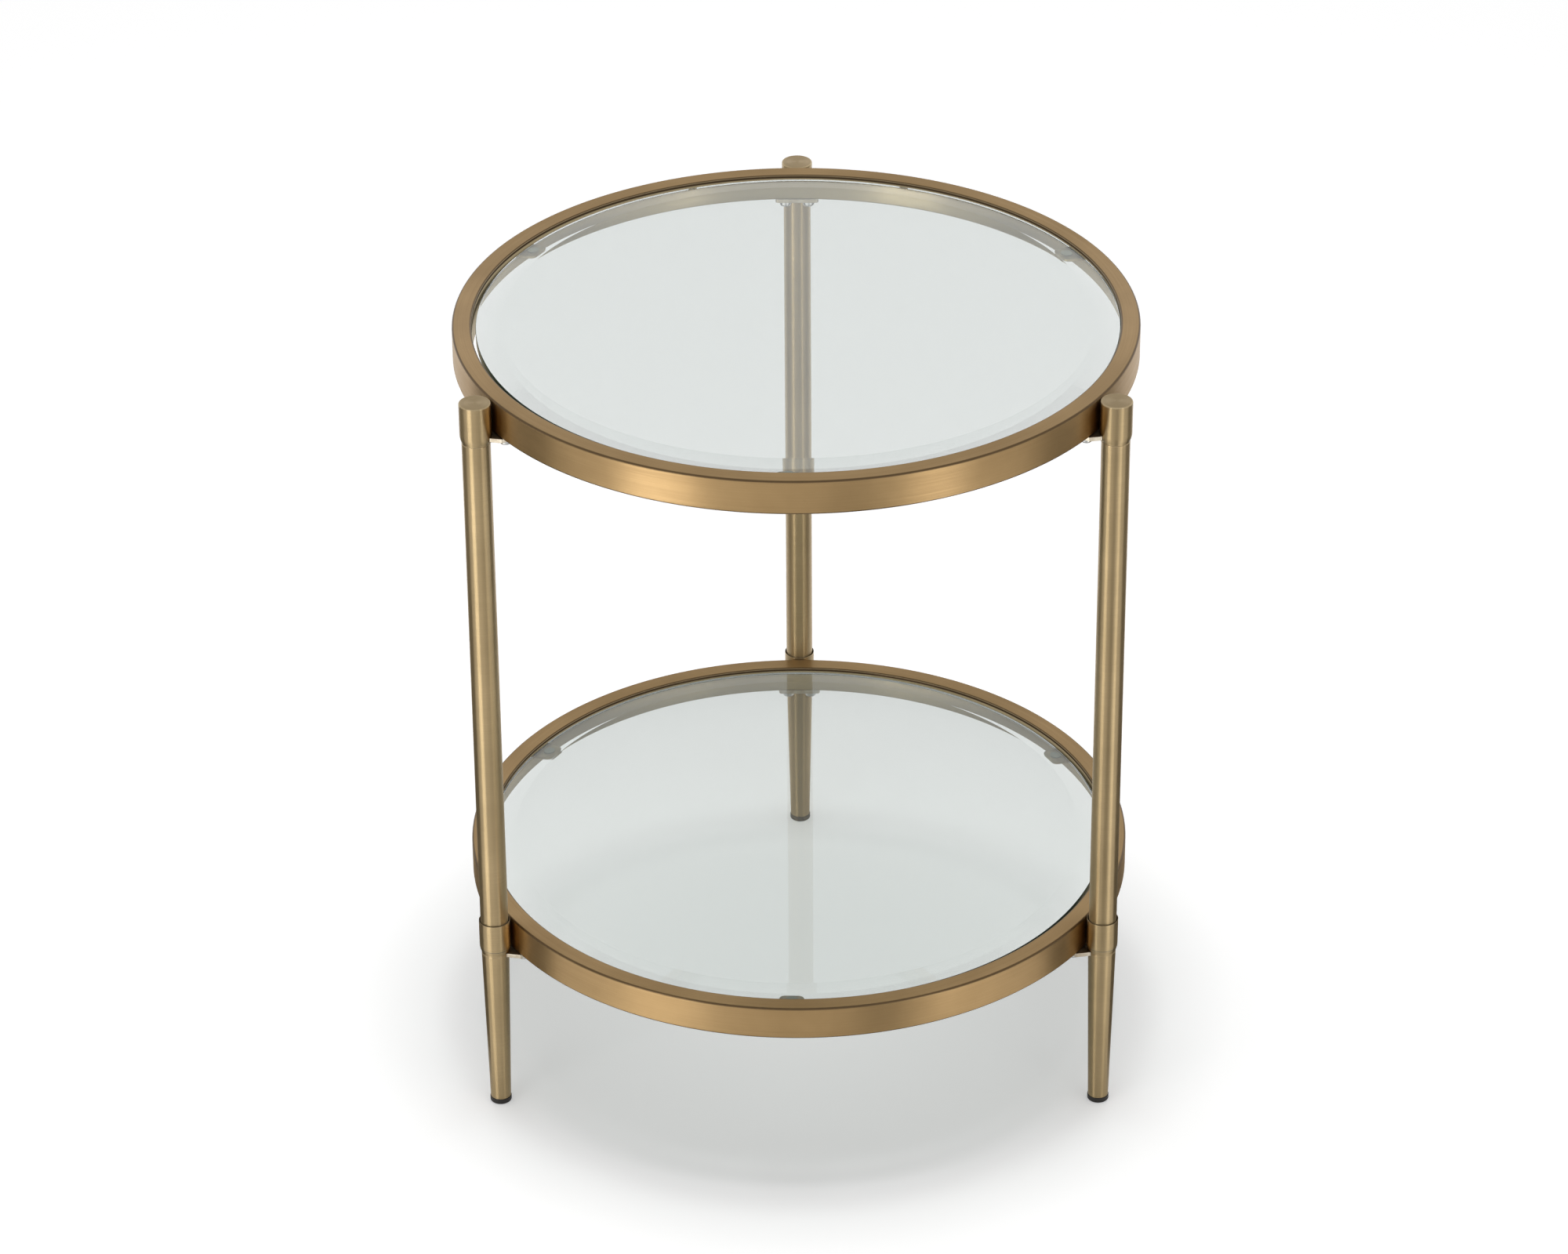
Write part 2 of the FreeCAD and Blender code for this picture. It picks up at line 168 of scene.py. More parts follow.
def grid_mesh(name, grids, across, along, masks, closed_columns=False):
    """One mesh from grids of the same layout, each of (rows, columns, 3) points with closed rows.

    across holds the map value of each row and along that of each column; both have one more value
    than there are rows or columns where the grid closes on itself. masks holds named values per column."""
    vertices, faces, corner_maps = [], [], []
    layers = {title: [] for title in masks}
    first = 0
    for points in grids:
        rows, columns = points.shape[:2]
        flat = points.reshape(-1, 3)
        numbers = np.arange(rows * columns).reshape(rows, columns)
        cell_rows, cell_columns = grid_faces(rows, columns, closed_columns)
        poles = [] if closed_columns else [column for column in (0, columns - 1)
                                           if np.ptp(points[:, column], axis=0).max() == 0]
        for column in poles:
            numbers[:, column] = numbers[0, column]
        cells = numbers[cell_rows % rows, cell_columns % columns]
        turn = -1 if inside_out(flat - flat.mean(0), cells) else 1
        used, cells = np.unique(cells, return_inverse=True)
        cells = cells.reshape(-1, 4)
        corner_map = np.stack([across[cell_rows], along[cell_columns]], axis=-1)
        same_start, same_end = cells[:, 0] == cells[:, 1], cells[:, 2] == cells[:, 3]
        quads = ~(same_start | same_end)
        for chosen, corners in ((quads, [0, 1, 2, 3]), (same_start, [0, 2, 3]), (same_end, [0, 1, 2])):
            order = corners[::turn]
            faces += (cells[chosen][:, order] + first).tolist()
            corner_maps.append(corner_map[chosen][:, order].reshape(-1, 2))
        vertices.append(flat[used])
        for title, values in masks.items():
            layers[title].append(np.broadcast_to(values, (rows, columns)).reshape(-1)[used])
        first += len(used)
    mesh = bpy.data.meshes.new(name)
    mesh.from_pydata(np.concatenate(vertices).tolist(), [], faces)
    mesh.uv_layers.new(name="turning").data.foreach_set("uv", np.concatenate(corner_maps).ravel())
    for title, values in layers.items():
        mesh.attributes.new(title, "FLOAT", "POINT").data.foreach_set("value", np.concatenate(values))
    mesh.polygons.foreach_set("use_smooth", np.ones(len(faces), bool))
    mesh.update()
    piece = bpy.data.objects.new(name, mesh)
    bpy.context.collection.objects.link(piece)
    return piece


print("Grid builder ready")

# %% [markdown]
# ## Turning an outline round an upright axis
# A lathe holds the work and the tool traces its outline. A screw modifier does the same.
# Here the points come straight from the circle's formula, so the seam is closed and the map is exact.

# %% Revolve an outline
def outline_lengths(outline, closed):
    """Distance along an outline from its first point, with one more value where it closes."""
    ring = np.concatenate([outline, outline[:1]]) if closed else outline
    return np.concatenate([[0], np.cumsum(np.linalg.norm(np.diff(ring, axis=0), axis=1))])


def revolved(outline, centre, turns, hexness=0.0):
    """Grid of x = cx + r cos a, y = cy + r sin a, z = h for each outline point (r, h) and angle a.

    Where hexness is 1, the circle becomes a hexagon with the flats at r, which is r over the cosine
    of the angle from the middle of the flat."""
    angle = np.linspace(0, 2 * np.pi, turns, endpoint=False)
    ring = np.stack([np.cos(angle), np.sin(angle)], axis=-1)
    from_flat = (angle + np.pi / 6) % (np.pi / 3) - np.pi / 6
    stretch = 1 + np.outer(1 / np.cos(from_flat) - 1, np.broadcast_to(hexness, len(outline)))
    points = np.zeros((turns, len(outline), 3))
    points[..., :2] = np.asarray(centre) + ring[:, None] * (outline[None, :, :1] * stretch[..., None])
    points[..., 2] = outline[:, 1]
    return points


def lathe(name, corners, radii, centres, turns, closed, shade=None):
    """Turned piece, repeated at each centre, from the corners of its outline of (radius, height).

    shade gives a value to each outline point, which marks painted shade in a gap, the own tone of an inner
    wall, and the rim of a pane."""
    outline, edge = rounded(corners, radii, closed)
    masks = {"edge": edge, "shade": shade(outline) if shade else np.zeros(len(outline))}
    grids = [revolved(outline, centre, turns) for centre in centres]
    angles = np.linspace(0, 2 * np.pi, turns + 1)
    return grid_mesh(name, grids, angles, outline_lengths(outline, closed), masks, closed_columns=closed)


def finish_piece(piece, material, body, nodes):
    """Give a piece its finish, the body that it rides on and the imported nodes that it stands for."""
    piece.data.materials.append(material)
    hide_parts(*nodes)
    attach(piece, body)
    print("%-22s %6d faces" % (piece.name, len(piece.data.polygons)))


print("Lathe ready")

# %% [markdown]
# ## Flat plates
# Brackets and lugs are cut from flat strip, and a file takes the sharpness off their edges.
# A solid of that kind could be an extrusion with a bevel. Here the outline is one parameter and the section
# of the edge is the other, so a single formula gives the flat faces and the soft edge together.

# %% Plates with soft edges
def even_path(points, step):
    """Points at even steps along a path of short straight pieces."""
    lengths = outline_lengths(points, False)
    places = np.linspace(0, lengths[-1], int(lengths[-1] / step) + 1)
    return np.stack([np.interp(places, lengths, points[:, axis]) for axis in (0, 1)], axis=-1)


def plate_grid(outline, edge, middle):
    """Grid of p + s n at height h, for outline points p with inward normals n and edge points (s, h).

    The first and last columns shrink to the middle point, which closes both faces."""
    along = np.roll(outline, -1, axis=0) - np.roll(outline, 1, axis=0)
    along /= np.linalg.norm(along, axis=1, keepdims=True)
    inward = np.stack([-along[:, 1], along[:, 0]], axis=-1)
    points = np.zeros((len(outline), len(edge), 3))
    points[..., :2] = outline[:, None] + edge[None, :, :1] * inward[:, None]
    points[..., 2] = edge[:, 1]
    points[:, [0, -1], :2] = middle
    return points


def turned_about(points, angle, centre):
    """Points turned by an angle about the upright axis and carried from the origin to a centre."""
    turn = np.array([[np.cos(angle), np.sin(angle)], [-np.sin(angle), np.cos(angle)]])
    placed = points.copy()
    placed[..., :2] = points[..., :2] @ turn + np.asarray(centre)
    return placed


def plate(name, outline, middle, bottom, top, soft_edge, angle):
    """Flat plate at an angle round the hoops' axis, from its outline along the x axis."""
    corners = [(2 * soft_edge, bottom), (0, bottom), (0, top), (2 * soft_edge, top)]
    edge, mask = rounded(corners, soft_edge, False)
    grid = turned_about(plate_grid(outline, edge, middle), angle, hoop_axis)
    masks = {"edge": mask, "shade": np.zeros(len(mask))}
    return grid_mesh(name, [grid], outline_lengths(outline, True), outline_lengths(edge, False), masks)


print("Plates ready")

# %% [markdown]
# ## Weld beads
# A weld freezes in small ripples as the torch moves along, and it tapers off at both ends. A curve with a
# bevel would give a smooth worm, so the section is carried along an arc and its size follows the ripples.

# %% Weld beads along an arc
bead_columns = 60
bead_ripple = 0.06
bead_bulge = 0.62
bead_corner_shares = np.array([0.02, 0.2, 0.4, 0.2])


def bead_section(leg):
    """Section of a fillet weld of (distance under the plate, depth), bulging beyond a straight triangle."""
    corners = [(0, 0), (leg, 0), (bead_bulge * leg, bead_bulge * leg), (0, leg)]
    return rounded(corners, leg * bead_corner_shares, True)[0]


def bead_grid(section, centre, corner_radius, outward, lean, top, middle_angle, sweep, ripples):
    """Grid of a bead: section point (u, v) lies at radius c + w (o u + l v) and height top - w v.

    The size w is the root of 1 - t^6, times one plus a cosine ripple, where t runs from -1 to 1."""
    t = np.linspace(-1, 1, bead_columns)
    size = np.sqrt(1 - t ** 6) * (1 + bead_ripple * np.cos(2 * np.pi * ripples * t))
    angle = middle_angle + sweep / 2 * t
    radius = corner_radius + size * (outward * section[:, :1] + lean * section[:, 1:])
    points = np.zeros((len(section), bead_columns, 3))
    points[..., 0] = centre[0] + radius * np.cos(angle)
    points[..., 1] = centre[1] + radius * np.sin(angle)
    points[..., 2] = top - size * section[:, 1:]
    points[:, [0, -1]] = points[:1, [0, -1]]
    return points


def bead_mesh(name, section, grids, length):
    """One mesh of several beads of the same section and length."""
    masks = {"edge": np.zeros(bead_columns), "shade": np.zeros(bead_columns)}
    along = np.linspace(0, length, bead_columns)
    return grid_mesh(name, grids, outline_lengths(section, True), along, masks)


print("Beads ready")

# %% [markdown]
# ## Small helpers for shader trees
# Every finish below is a tree of nodes. A few helpers keep the trees short to read: one fills the inputs of
# a node, some make a kind of node that is used often, and one makes an empty group with named sockets.

# %% Helpers for nodes and groups
noise_low = 0.3
noise_high = 0.7
white = (1.0, 1.0, 1.0)


def fill(tree, target, sockets):
    """Link the inputs of a node to other sockets or set them to values. A colour has three numbers."""
    for name, value in sockets.items():
        socket = target.inputs[name]
        if isinstance(value, bpy.types.NodeSocket):
            tree.links.new(value, socket)
        elif socket.type == "RGBA":
            socket.default_value = (*value, 1.0)
        else:
            socket.default_value = value


def node(tree, kind, settings=None, **values):
    """New node with its settings. Its inputs go by their names, or by their numbers as i0, i1 and so on."""
    made = tree.nodes.new(kind)
    for name, value in (settings or {}).items():
        setattr(made, name, value)
    for name, value in values.items():
        numbered = name[0] == "i" and name[1:].isdigit()
        fill(tree, made, {int(name[1:]) if numbered else name.replace("_", " ").title(): value})
    return made


def maths(tree, operation, first, second=0.0):
    """Result of one arithmetic step on two values or sockets."""
    return node(tree, "ShaderNodeMath", {"operation": operation}, i0=first, i1=second).outputs[0]


def scaled(tree, value, low, high, new_low, new_high):
    """Value carried from one range to another and held inside it."""
    return node(tree, "ShaderNodeMapRange", None, i0=value, i1=low, i2=high,
                i3=new_low, i4=new_high).outputs[0]


def mixed(tree, factor, first, second):
    """Colour between two colours."""
    return node(tree, "ShaderNodeMix", {"data_type": "RGBA"}, i0=factor, i6=first, i7=second).outputs[2]


def noise(tree, place, scale, detail=2.0, roughness=0.5):
    """Cloudy noise of a scale at a place."""
    return node(tree, "ShaderNodeTexNoise", None, vector=place, scale=scale, detail=detail,
                roughness=roughness).outputs[0]


def new_group(name, inputs, outputs):
    """Empty shader group with named sockets, and its input and output nodes."""
    tree = bpy.data.node_groups.new(name, "ShaderNodeTree")
    for title, (kind, value) in inputs.items():
        socket = tree.interface.new_socket(title, in_out="INPUT", socket_type="NodeSocket" + kind)
        if value is not None:
            socket.default_value = value
    for title in outputs:
        tree.interface.new_socket(title, in_out="OUTPUT", socket_type="NodeSocketFloat")
    return tree, tree.nodes.new("NodeGroupInput"), tree.nodes.new("NodeGroupOutput")


def new_material(name):
    """Material with an empty tree, its shader and its output."""
    material = bpy.data.materials.new(name)
    material.use_nodes = True
    tree = material.node_tree
    tree.nodes.clear()
    shader = tree.nodes.new("ShaderNodeBsdfPrincipled")
    output = tree.nodes.new("ShaderNodeOutputMaterial")
    tree.links.new(shader.outputs[0], output.inputs["Surface"])
    return material, tree, shader, output


def use_group(tree, group, **values):
    """Place a group in a tree and fill its inputs."""
    return node(tree, "ShaderNodeGroup", {"node_tree": group}, **values)


print("Node helpers ready")

# %% [markdown]
# ## The brushed grain
# The hoops and posts were brushed with an abrasive belt before plating, so fine scratches run round them.
# A stretched noise gives such scratches. Its place comes from the cosine and sine of the angle, so the grain
# closes on itself with no seam, and from the distance along the outline, so it turns with every edge.

# %% Group: brushed grain
grain_group, grain_in, grain_out = new_group(
    "brushed_grain",
    {"Map": ("Vector", None), "Along": ("Float", 4.0), "Across": ("Float", 3000.0)},
    ["Streak", "Fine"])
grain_map = node(grain_group, "ShaderNodeSeparateXYZ", None, i0=grain_in.outputs["Map"])
round_x = maths(grain_group, "COSINE", grain_map.outputs["X"])
round_y = maths(grain_group, "SINE", grain_map.outputs["X"])
grain_place = node(grain_group, "ShaderNodeCombineXYZ", None,
                   i0=maths(grain_group, "MULTIPLY", round_x, grain_in.outputs["Along"]),
                   i1=maths(grain_group, "MULTIPLY", round_y, grain_in.outputs["Along"]),
                   i2=maths(grain_group, "MULTIPLY", grain_map.outputs["Y"], grain_in.outputs["Across"]))
broad_noise = noise(grain_group, grain_place.outputs[0], scale=0.45, roughness=0.6)
fine_noise = noise(grain_group, grain_place.outputs[0], scale=2.0)
for title, texture in (("Streak", broad_noise), ("Fine", fine_noise)):
    fill(grain_group, grain_out, {title: scaled(grain_group, texture, noise_low, noise_high, 0.0, 1.0)})
print("Group", grain_group.name)

# %% [markdown]
# ## The patina
# Antique brass is darkened in a bath and then polished back, which leaves soft clouds of a browner tone.
# Clouds of noise in the object's own coordinates are enough, as they follow no edge.

# %% Group: patina clouds
cloud_low = 0.35
cloud_high = 0.65
speck_low = 0.62
speck_high = 0.75
patina_group, patina_in, patina_out = new_group(
    "patina_clouds", {"Place": ("Vector", None), "Size": ("Float", 14.0)}, ["Cloud", "Speck"])
patina_place = patina_in.outputs["Place"]
clouds = noise(patina_group, patina_place, patina_in.outputs["Size"], detail=4.0, roughness=0.55)
specks = noise(patina_group, patina_place, scale=420.0, detail=3.0, roughness=0.6)
fill(patina_group, patina_out, {"Cloud": scaled(patina_group, clouds, cloud_low, cloud_high, 0.0, 1.0),
                                "Speck": scaled(patina_group, specks, speck_low, speck_high, 0.0, 1.0)})
print("Group", patina_group.name)

# %% [markdown]
# ## Wear and painted reflection along the edges
# Edges look different from the flats beside them. Handling polishes those of the posts, and their lighter
# tone stands for that wear and for a painted highlight. Along those of the hoops a dark tone is a painted
# dark reflection. The outlines left a mask on each arc, and noise breaks it up, as wear is never even.
# Each finish then picks the tone that its own edges take.

# %% Group: edge wear and painted reflection
wear_and_reflection_group, wear_and_reflection_in, wear_and_reflection_out = new_group(
    "edge_wear_and_reflection", {"Place": ("Vector", None), "Amount": ("Float", 0.6), "Least": ("Float", 0.35)}, ["Wear and reflection"])
edge_mask = node(wear_and_reflection_group, "ShaderNodeAttribute", {"attribute_name": "edge"})
wear_noise = noise(wear_and_reflection_group, wear_and_reflection_in.outputs["Place"], scale=60.0, detail=4.0, roughness=0.6)
uneven = scaled(wear_and_reflection_group, wear_noise, noise_low, noise_high, wear_and_reflection_in.outputs["Least"], 1.0)
wear_and_reflection_mask = maths(wear_and_reflection_group, "MULTIPLY", edge_mask.outputs["Fac"], uneven)
fill(wear_and_reflection_group, wear_and_reflection_out, {"Wear and reflection": maths(wear_and_reflection_group, "MULTIPLY", wear_and_reflection_mask, wear_and_reflection_in.outputs["Amount"])})
print("Group", wear_and_reflection_group.name)

# %% [markdown]
# ## Two tones of antique brass
# The hoops are a warm bronze and the posts a greyer, more olive brass, as they were plated as separate lots.
# Both are metal with a reflection stretched across the brushing, so the tangent follows the map of the piece
# and is turned by a quarter. A thin lacquer adds a little clear shine on top. The inside of a hoop has a
# greyer tone of its own, and painted shade makes the narrow gaps beside glass and tube nearly black.

# %% Material: brushed brass
# Painted shade: the narrow gaps beside the glass and inside the sleeve mouths are darkened to this colour.
gap_painted_shade = (0.11, 0.072, 0.04)
inside_tone = (0.45, 0.365, 0.215)
wall_shade = 0.5
gap_shade = 1.0
streak_share = 0.3
speck_share = 0.35
edge_polish = 0.1
grain_bump = 0.12
grain_depth = 0.05 * mm
quarter_turn = 0.25
lacquer_roughness = 0.25


def brushed_brass(name, tone, shade, wear_and_reflection_edge_tone, along, across, lacquer, stretch, rough_low, rough_high,
                  edge_amount, edge_least):
    """Brushed, lacquered antique brass with clouds, grain, specks, edges of wear and painted reflection, and
    painted gap shade.
    """
    material, tree, shader, _ = new_material(name)
    turning = node(tree, "ShaderNodeUVMap", {"uv_map": "turning"}).outputs[0]
    place = node(tree, "ShaderNodeTexCoord").outputs["Object"]
    grain = use_group(tree, grain_group, map=turning, along=along, across=across)
    patina = use_group(tree, patina_group, place=place)
    wear_and_reflection = use_group(tree, wear_and_reflection_group, place=place, amount=edge_amount, least=edge_least)
    inner = node(tree, "ShaderNodeAttribute", {"attribute_name": "shade"}).outputs["Fac"]
    toned = mixed(tree, patina.outputs["Cloud"], tone, shade)
    lined = mixed(tree, scaled(tree, grain.outputs["Streak"], 0, 1, 0.0, streak_share), toned, shade)
    specked = mixed(tree, scaled(tree, patina.outputs["Speck"], 0, 1, 0.0, speck_share), lined, shade)
    # The edge tone is a painted dark reflection on the hoops, and wear with a painted highlight on the
    # posts.
    edged = mixed(tree, wear_and_reflection.outputs["Wear and reflection"], specked, wear_and_reflection_edge_tone)
    walled = mixed(tree, scaled(tree, inner, 0, wall_shade, 0.0, 1.0), edged, inside_tone)
    # Where the shade mask is 1, painted shade turns the colour nearly black.
    in_gap = scaled(tree, inner, wall_shade, gap_shade, 0.0, 1.0)
    rough = scaled(tree, grain.outputs["Streak"], 0, 1, rough_low, rough_high)
    smooth = maths(tree, "MULTIPLY", wear_and_reflection.outputs["Wear and reflection"], edge_polish)
    bump = node(tree, "ShaderNodeBump", None, strength=grain_bump, distance=grain_depth,
                height=grain.outputs["Fine"])
    tangent = node(tree, "ShaderNodeTangent", {"direction_type": "UV_MAP", "uv_map": "turning"})
    fill(tree, shader, {
        "Base Color": mixed(tree, in_gap, walled, gap_painted_shade), "Metallic": 1.0,
        "Roughness": maths(tree, "SUBTRACT", rough, smooth), "Normal": bump.outputs[0],
        "Tangent": tangent.outputs[0], "Anisotropic": stretch, "Anisotropic Rotation": quarter_turn,
        "Coat Weight": lacquer, "Coat Roughness": lacquer_roughness})
    return material


# The third colour is the edge tone: a painted dark reflection for the hoops, wear and a painted highlight
# for the posts.
hoop_brass = brushed_brass("hoop_brass", (0.46, 0.307, 0.146), (0.38, 0.25, 0.115), (0.13, 0.085, 0.044),
                           along=4.0, across=2600.0, lacquer=0.015, stretch=0.9, rough_low=0.36,
                           rough_high=0.46, edge_amount=1.2, edge_least=0.85)
post_brass = brushed_brass("post_brass", (0.46, 0.34, 0.18), (0.38, 0.28, 0.145), (0.66, 0.54, 0.34),
                           along=0.7, across=3600.0, lacquer=0.3, stretch=1.0, rough_low=0.31,
                           rough_high=0.39, edge_amount=0.6, edge_least=0.35)
print("Materials", hoop_brass.name, post_brass.name)

# %% [markdown]
# ## Clear glass
# Tempered glass looks clear through its faces and green through its edge, because the light travels further
# there. A clear shader with absorption inside does both. Panes let most light through to the floor, so their
# shadow is a pale tint, which the shader shows to shadow rays.

# %% Material: pane glass
wipe_size = 9.0
wipe_roughness = 0.012
glass_clearness = 0.93
glass_bending = 1.52


def let_through(tree, shader, output, rays, tone):
    """Show the given rays a clear film of a tone instead of the shader."""
    clear = node(tree, "ShaderNodeBsdfTransparent", None, color=tone)
    both = node(tree, "ShaderNodeMixShader", None, i0=rays, i1=shader.outputs[0], i2=clear.outputs[0])
    fill(tree, output, {"Surface": both.outputs[0]})


def clear_glass(name, tint, density, rim_tone, pane_shadow):
    """Clear pane with a green edge, faint wipe marks and a pale shadow."""
    material, tree, shader, output = new_material(name)
    place = node(tree, "ShaderNodeTexCoord").outputs["Object"]
    wipes = use_group(tree, patina_group, place=place, size=wipe_size)
    rim = node(tree, "ShaderNodeAttribute", {"attribute_name": "shade"}).outputs["Fac"]
    fill(tree, shader, {
        "Base Color": mixed(tree, rim, white, rim_tone), "IOR": glass_bending,
        "Roughness": scaled(tree, wipes.outputs["Cloud"], 0, 1, 0.0, wipe_roughness),
        "Transmission Weight": glass_clearness})
    rays = node(tree, "ShaderNodeLightPath").outputs
    unseen = maths(tree, "MAXIMUM", rays["Is Shadow Ray"], rays["Is Diffuse Ray"])
    let_through(tree, shader, output, unseen, pane_shadow)
    inside = node(tree, "ShaderNodeVolumeAbsorption", None, color=tint, density=density)
    fill(tree, output, {"Volume": inside.outputs[0]})
    return material


pane_glass = clear_glass("pane_glass", tint=(0.34, 0.47, 0.42), density=34.0, rim_tone=(0.05, 0.12, 0.09),
                         pane_shadow=(0.79, 0.80, 0.795))
print("Material", pane_glass.name)

# %% [markdown]
# ## Small materials
# Zinc screws, black feet, clear pads and the plain steel hidden inside the joints are simple finishes, but
# each still has its own grain: plating mottles, moulded plastic has a fine texture, and silicone is frosted.

# %% Materials: zinc, plastic, silicone and steel
mottle_size = 180.0
scuff_amount = 0.5
mould_texture = 2400.0
mould_bump = 0.25
mould_depth = 0.1 * mm
mould_rough_low = 0.38
mould_rough_high = 0.55
frost_size = 700.0
pad_tone = (0.60, 0.62, 0.46)
pad_clearness = 0.45
pad_bending = 1.41


def plated_metal(name, tone, shade, rough_low, rough_high):
    """Plated metal with mottled colour and roughness."""
    material, tree, shader, _ = new_material(name)
    place = node(tree, "ShaderNodeTexCoord").outputs["Object"]
    mottle = use_group(tree, patina_group, place=place, size=mottle_size).outputs["Cloud"]
    fill(tree, shader, {"Base Color": mixed(tree, mottle, tone, shade), "Metallic": 1.0,
                        "Roughness": scaled(tree, mottle, 0, 1, rough_low, rough_high)})
    return material


def moulded_plastic(name, tone, scuffed):
    """Black moulded plastic with a fine texture and scuffed edges."""
    material, tree, shader, _ = new_material(name)
    place = node(tree, "ShaderNodeTexCoord").outputs["Object"]
    wear_and_reflection = use_group(tree, wear_and_reflection_group, place=place, amount=scuff_amount)
    texture = noise(tree, place, mould_texture)
    bump = node(tree, "ShaderNodeBump", None, strength=mould_bump, distance=mould_depth, height=texture)
    fill(tree, shader, {
        "Base Color": mixed(tree, wear_and_reflection.outputs["Wear and reflection"], tone, scuffed), "Normal": bump.outputs[0],
        "Roughness": scaled(tree, texture, noise_low, noise_high, mould_rough_low, mould_rough_high)})
    return material


def soft_silicone(name, frost_low, frost_high):
    """Clear, slightly frosted silicone that lets light through to the lug under it."""
    material, tree, shader, output = new_material(name)
    place = node(tree, "ShaderNodeTexCoord").outputs["Object"]
    frost = use_group(tree, patina_group, place=place, size=frost_size)
    fill(tree, shader, {
        "Base Color": pad_tone, "Transmission Weight": pad_clearness, "IOR": pad_bending,
        "Roughness": scaled(tree, frost.outputs["Cloud"], 0, 1, frost_low, frost_high)})
    let_through(tree, shader, output, node(tree, "ShaderNodeLightPath").outputs["Is Shadow Ray"], white)
    return material


plate_brass = plated_metal("plate_brass", (0.62, 0.56, 0.45), (0.48, 0.41, 0.31), 0.32, 0.46)
weld_brass = plated_metal("weld_brass", (0.36, 0.28, 0.17), (0.22, 0.16, 0.09), 0.4, 0.6)
lug_brass = plated_metal("lug_brass", (0.42, 0.35, 0.20), (0.32, 0.26, 0.15), 0.36, 0.5)
zinc = plated_metal("zinc_screw", (0.72, 0.71, 0.68), (0.55, 0.55, 0.54), 0.2, 0.34)
inner_steel = plated_metal("inner_steel", (0.52, 0.52, 0.52), (0.42, 0.42, 0.43), 0.35, 0.5)
foot_plastic = moulded_plastic("foot_plastic", (0.013, 0.010, 0.008), (0.045, 0.036, 0.03))
clear_pad = soft_silicone("clear_pad", 0.05, 0.15)
small_finishes = (plate_brass, weld_brass, lug_brass, zinc, inner_steel, foot_plastic, clear_pad)
print("Materials", ", ".join(finish.name for finish in small_finishes))

# %% [markdown]
# ## The hoops
# Each hoop is a length of rectangular tube, rolled into a circle and welded, with rounded corners from the
# mill. Only its outer skin shows, so the outline is one rounded rectangle that goes round the hoop's axis.
# Two more points on the inner wall mark where the painted shade of the gap beside the glass ends.

# %% Hoops
hoop_turns = 720
hoop_corner = 1.5 * mm
inner_wall_depth = 0.4 * mm
gap_depth = 2.0 * mm
gap_fade = 0.6 * mm
for tier in tiers:
    hoop_bottom, hoop_top = box_heights(tier + "_ring")
    # Painted shade darkens the inner wall above the glass; below it the inner wall keeps its own tone.
    gap_end = hoop_top - gap_depth
    hoop = lathe(tier + "_hoop",
                 [(hoop_bore, hoop_bottom), (hoop_radius, hoop_bottom), (hoop_radius, hoop_top),
                  (hoop_bore, hoop_top), (hoop_bore, gap_end), (hoop_bore, gap_end - gap_fade)],
                 [hoop_corner, hoop_corner, hoop_corner, hoop_corner, 0, 0], [hoop_axis], hoop_turns, True,
                 lambda outline: (outline[:, 0] < hoop_bore + inner_wall_depth)
                 * np.where(outline[:, 1] >= gap_end, gap_shade, wall_shade))
    finish_piece(hoop, hoop_brass, "frame", [tier + "_ring"])

# %% [markdown]
# ## The glass panes
# The pane is a disc with a wide ground bevel round its top and a fine arris below. The bevel bends the view
# of whatever is under it, so it has to be real geometry. The outline runs from pole to pole, which closes
# the disc.

# %% Panes
pane_turns = 480
bevel_width = 17.0 * mm
bevel_drop = 2.0 * mm
arris = 0.5 * mm
rim_depth = 0.25 * mm
for tier in tiers:
    pane_bottom, pane_top = box_heights(tier + "_glass")
    pane_radius = box_radius(tier + "_glass")
    pane = lathe(tier + "_pane",
                 [(0, pane_bottom), (pane_radius, pane_bottom), (pane_radius, pane_top - bevel_drop),
                  (pane_radius - bevel_width, pane_top), (0, pane_top)],
                 arris, [box_middle(tier + "_glass")], pane_turns, False,
                 lambda outline: (outline[:, 0] > pane_radius - rim_depth).astype(float))
    finish_piece(pane, pane_glass, tier + "_pane", [tier + "_glass"])

# %% [markdown]
# ## The post caps
# Each post is a stack of turned pieces, with fine seams between them. The cap stands beside the upper hoop
# and is a little wider than the tube, and its lower end draws in to the tube's width. Scaling a loop of a
# cylinder would leave a crease there, so the outline has a wide arc instead.

# %% Post caps
post_turns = 96
seam_edge = 0.45 * mm
neck_edge = 0.15 * mm
taper_bend = 13.0 * mm
cap_edge = 1.0 * mm
cap_neck = 0.8 * mm
cap_half_taper = 3.0 * mm


def post_pieces(title, node_title, corners, radii, closed, finish=post_brass, shade=None):
    """The same turned piece on each of the three posts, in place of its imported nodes."""
    for side, place in post_places.items():
        piece = lathe(title + "_" + side, corners, radii, [place], post_turns, closed, shade)
        finish_piece(piece, finish, "frame", [node_title + "_" + side])


cap_radius = box_radius("post_cap_back")
cap_top = box_heights("post_cap_back")[1]
tube_bottom, cap_seam = box_heights("post_tube_back")
cap_neck_top = cap_seam + cap_neck
cap_taper_middle = cap_neck_top + cap_half_taper
post_pieces("cap", "post_cap",
            [(0, cap_seam), (post_radius, cap_seam), (post_radius, cap_neck_top),
             (cap_radius, cap_taper_middle), (cap_radius, cap_top), (0, cap_top)],
            [0, seam_edge, neck_edge, taper_bend, cap_edge, 0], False)

# %% [markdown]
# ## The main tubes
# A plain length of tube stands between the cap and the sleeve. A cylinder would nearly do, but the closed
# outline of its wall gives open ends with soft rims as well, and those rims draw the seams.

